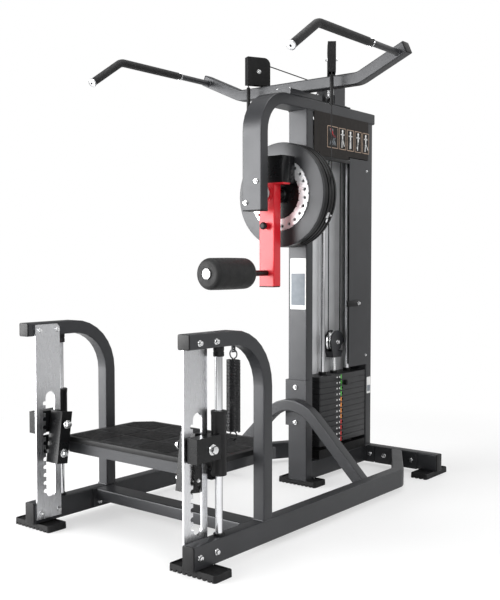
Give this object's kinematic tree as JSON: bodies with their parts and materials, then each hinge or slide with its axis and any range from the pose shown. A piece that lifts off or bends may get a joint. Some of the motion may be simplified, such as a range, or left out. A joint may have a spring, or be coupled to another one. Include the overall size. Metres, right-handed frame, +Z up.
{
  "type": "standing hip and glute machine",
  "caption": "Standing hip and glute machine: a padded roller arm on an indexed cam lifts a weight stack by cable, over a height-adjustable step platform.",
  "frame": {"origin": "centre of the sole of the tower's front foot, on the floor, in the machine's middle plane", "axes": "+X to the right of a user who faces the tower, +Y from the step frames towards the weight tower, +Z up"},
  "size_m": [1.0804, 1.811, 1.91],
  "materials": {
    "frame_paint": "charcoal metallic powder coat, satin",
    "foot_rubber": "matt black moulded rubber",
    "arm_paint": "red gloss powder coat",
    "cam_paint": "dark grey satin powder coat",
    "chrome_steel": "bright chrome plating",
    "brushed_plate": "brushed stainless steel",
    "black_plastic": "moulded black nylon",
    "black_paint": "textured black paint over steel",
    "cable_jacket": "black nylon jacket over wire rope",
    "grip_foam": "dense black foam rubber",
    "white_panel": "light silver sheet",
    "chart_face": "printed black board"
  },
  "bodies": {
    "frame": {"side_frame_right": "frame_paint", "side_frame_left": "frame_paint", "front_cross_tube": "frame_paint", "rear_cross_tube": "frame_paint", "base_beam": "frame_paint", "arch_brace": "frame_paint", "tower_front_post": "frame_paint", "tower_rear_post": "frame_paint", "top_beam": "frame_paint", "crossbar": "frame_paint", "pulley_post": "frame_paint", "cover_panel": "frame_paint", "handle_tube_right": "frame_paint", "handle_tube_left": "frame_paint", "foot_front_right": "foot_rubber", "foot_front_left": "foot_rubber", "foot_tower": "foot_rubber", "foot_rear_right": "foot_rubber", "foot_rear_left": "foot_rubber", "stack_base": "foot_rubber", "stack_rod_front": "chrome_steel", "stack_rod_rear": "chrome_steel", "platform_guide_right": "chrome_steel", "platform_guide_left": "chrome_steel", "rack_plate_right": "brushed_plate", "rack_plate_left": "brushed_plate", "pivot_shaft": "brushed_plate", "pulley_housing_right": "black_plastic", "pulley_housing_left": "black_plastic", "lift_spring": "black_paint", "weight_plates": "black_paint", "cable_right": "cable_jacket", "cable_left": "cable_jacket", "lift_cable": "cable_jacket", "handle_grip_right": "grip_foam", "handle_grip_left": "grip_foam", "shroud_panel": "white_panel", "chart_placard": "chart_face"},
    "cam": {"cam_disc": "cam_paint", "index_ring": "chrome_steel", "cable_clamp_right": "brushed_plate", "cable_clamp_left": "brushed_plate"},
    "arm": {"swing_arm": "arm_paint", "counterweight": "black_paint", "roller_axle": "chrome_steel"},
    "plunger": {"index_plunger": "black_plastic"},
    "roller": {"roller_pad": "grip_foam"},
    "stack": {"lifted_plate": "black_paint", "head_plate": "black_paint", "lift_carrier": "frame_paint"},
    "pin": {"selector_pin": "black_plastic"},
    "lift_wheel": {"lift_pulley": "brushed_plate"},
    "side_wheel_right": {"side_pulley_right": "black_plastic"},
    "side_wheel_left": {"side_pulley_left": "black_plastic"},
    "top_wheel_right": {"top_pulley_right": "brushed_plate"},
    "top_wheel_left": {"top_pulley_left": "brushed_plate"},
    "platform": {"platform_frame": "frame_paint", "platform_cover": "foot_rubber"},
    "lever_right": {"release_lever_right": "black_paint"},
    "lever_left": {"release_lever_left": "black_paint"}
  },
  "joints": [
    {"name": "cam_swing", "type": "hinge", "parent": "frame", "child": "cam", "pos_m": [0, -0.12, 1.283], "axis": [0, 1, 0], "range_deg": [0, 90], "deforming": ["cable_left"]},
    {"name": "arm_index", "type": "hinge", "parent": "cam", "child": "arm", "pos_m": [0, -0.24, 1.283], "axis": [0, 1, 0], "range_deg": [-75, 75]},
    {"name": "plunger_pull", "type": "slide", "parent": "arm", "child": "plunger", "axis": [0, -1, 0], "range_m": [0, 0.012], "stiffness_N_per_m": 400},
    {"name": "roller_spin", "type": "hinge", "parent": "arm", "child": "roller", "pos_m": [0, -0.52, 0.949], "axis": [0, 1, 0], "continuous": true},
    {"name": "stack_lift", "type": "slide", "parent": "frame", "child": "stack", "axis": [0, 0, 1], "range_m": [0, 0.175], "deforming": ["lift_cable"]},
    {"name": "pin_pull", "type": "slide", "parent": "stack", "child": "pin", "axis": [1, 0, 0], "range_m": [0, 0.075]},
    {"name": "lift_wheel_spin", "type": "hinge", "parent": "stack", "child": "lift_wheel", "pos_m": [0, 0.258, 0.62], "axis": [-1, 0, 0], "range_deg": [0, 206]},
    {"name": "side_wheel_right_spin", "type": "hinge", "parent": "frame", "child": "side_wheel_right", "pos_m": [0.19676, -0.07196, 1.846], "axis": [0.8191, 0.5736, 0], "range_deg": [0, 456]},
    {"name": "top_wheel_right_spin", "type": "hinge", "parent": "frame", "child": "top_wheel_right", "pos_m": [0.02065, 0.17951, 1.764], "axis": [0.8191, 0.5736, 0], "range_deg": [0, 557]},
    {"name": "side_wheel_left_spin", "type": "hinge", "parent": "frame", "child": "side_wheel_left", "pos_m": [-0.20125, -0.0692, 1.846], "axis": [0.8818, -0.4717, 0], "continuous": true},
    {"name": "top_wheel_left_spin", "type": "hinge", "parent": "frame", "child": "top_wheel_left", "pos_m": [-0.01698, 0.27526, 1.764], "axis": [0.8818, -0.4717, 0], "continuous": true},
    {"name": "platform_height", "type": "slide", "parent": "frame", "child": "platform", "axis": [0, 0, 1], "range_m": [-0.15, 0.09], "deforming": ["lift_spring"]},
    {"name": "lever_right_release", "type": "hinge", "parent": "platform", "child": "lever_right", "pos_m": [0.33, -1.102, 0.395], "axis": [1, 0, 0], "range_deg": [0, 6]},
    {"name": "lever_left_release", "type": "hinge", "parent": "platform", "child": "lever_left", "pos_m": [-0.33, -1.102, 0.395], "axis": [1, 0, 0], "range_deg": [0, 6]}
  ],
  "couplings": [
    {"joint": "stack_lift", "follows": "cam_swing", "m_per_rad": 0.111},
    {"joint": "lift_wheel_spin", "follows": "cam_swing", "ratio": 2.2653},
    {"joint": "side_wheel_right_spin", "follows": "cam_swing", "ratio": 5.0454},
    {"joint": "top_wheel_right_spin", "follows": "cam_swing", "ratio": 6.1667},
    {"joint": "lever_left_release", "follows": "lever_right_release", "ratio": 1}
  ]
}
